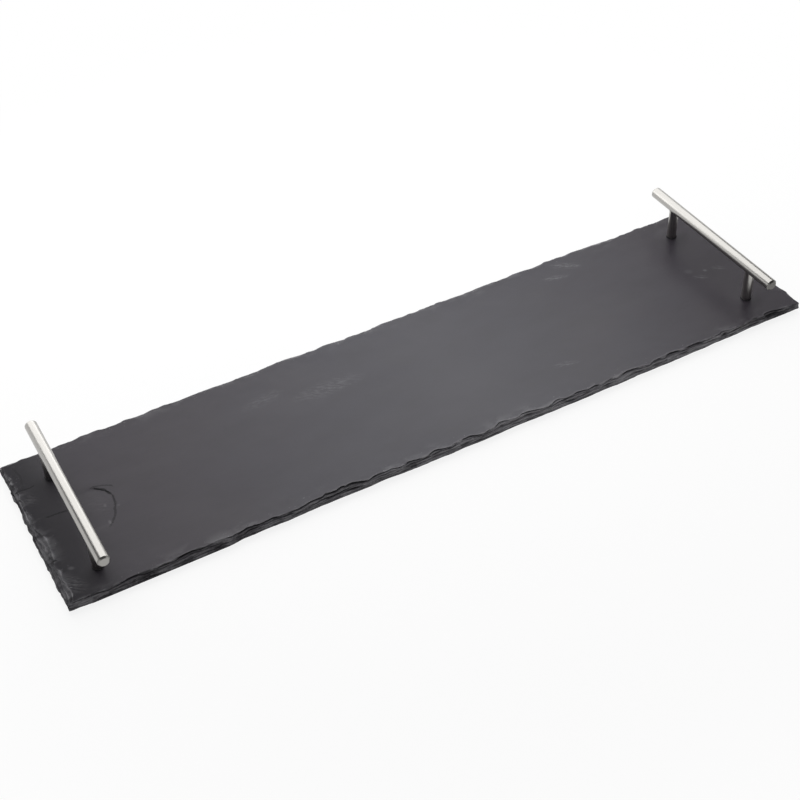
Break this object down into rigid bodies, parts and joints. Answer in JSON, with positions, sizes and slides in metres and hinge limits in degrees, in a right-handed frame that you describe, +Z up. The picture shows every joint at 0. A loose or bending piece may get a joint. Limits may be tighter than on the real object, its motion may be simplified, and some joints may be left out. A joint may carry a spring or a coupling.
{
  "type": "slate serving board",
  "caption": "Long rectangular slate serving board with a hand-dressed flaked edge, a round steel bar handle on posts across each end and soft feet underneath.",
  "frame": {"origin": "on the table, under the middle of the slate", "axes": "+X along the board to the right-hand handle, +Y to the back edge, +Z up"},
  "size_m": [0.6, 0.153, 0.0425],
  "materials": {
    "slate": "matt riven",
    "handle_steel": "satin brushed",
    "fastener_steel": "zinc plated",
    "gasket_rubber": "matt",
    "foot_pad": "matt"
  },
  "bodies": {
    "root": {"slate_board": "slate", "left_handle_bar": "handle_steel", "left_front_post": "handle_steel", "left_front_post_stud": "fastener_steel", "left_front_post_gasket": "gasket_rubber", "left_front_screw_washer": "fastener_steel", "left_front_handle_screw": "fastener_steel", "left_front_foot": "foot_pad", "left_back_post": "handle_steel", "left_back_post_stud": "fastener_steel", "left_back_post_gasket": "gasket_rubber", "left_back_screw_washer": "fastener_steel", "left_back_handle_screw": "fastener_steel", "left_back_foot": "foot_pad", "right_handle_bar": "handle_steel", "right_front_post": "handle_steel", "right_front_post_stud": "fastener_steel", "right_front_post_gasket": "gasket_rubber", "right_front_screw_washer": "fastener_steel", "right_front_handle_screw": "fastener_steel", "right_front_foot": "foot_pad", "right_back_post": "handle_steel", "right_back_post_stud": "fastener_steel", "right_back_post_gasket": "gasket_rubber", "right_back_screw_washer": "fastener_steel", "right_back_handle_screw": "fastener_steel", "right_back_foot": "foot_pad"}
  },
  "joints": []
}
